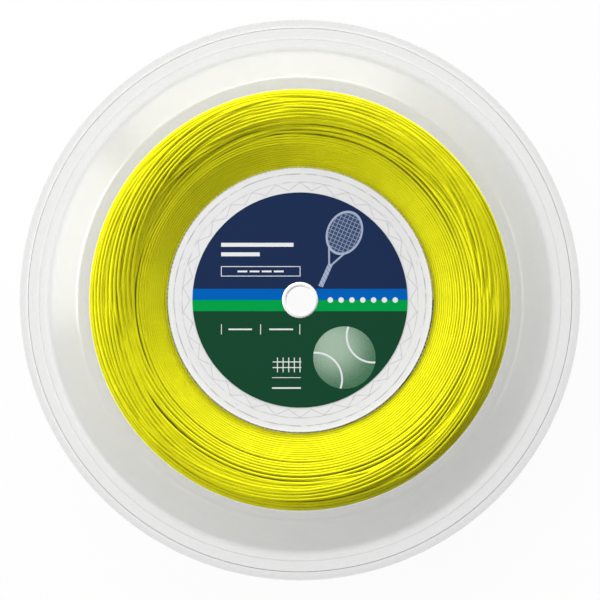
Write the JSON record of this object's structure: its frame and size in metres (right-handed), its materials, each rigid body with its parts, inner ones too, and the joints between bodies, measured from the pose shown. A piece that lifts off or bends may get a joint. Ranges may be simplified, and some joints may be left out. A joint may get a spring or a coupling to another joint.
{
  "type": "string reel",
  "caption": "Clear dished reel with pinched lips, a welded hub drum, a round label and a full pack of yellow racket string.",
  "frame": {"origin": "on the bore's axis, in the plane of the rear shell's crest, which the reel rests on when it lies flat", "axes": "+Z along the bore towards the label's side, +Y towards the label's top edge"},
  "size_m": [0.26, 0.26, 0.027],
  "materials": {
    "clear_shell": "clear, polished",
    "natural_drum": "natural moulded plastic",
    "label_paper": "coated, semi-gloss",
    "yellow_string": "smooth extruded"
  },
  "bodies": {
    "root": {"front_shell": "clear_shell", "rear_shell": "clear_shell", "hub_drum": "natural_drum", "front_label": "label_paper", "string_core": "yellow_string", "string_outer_turns": "yellow_string", "string_start": "yellow_string"}
  },
  "joints": []
}
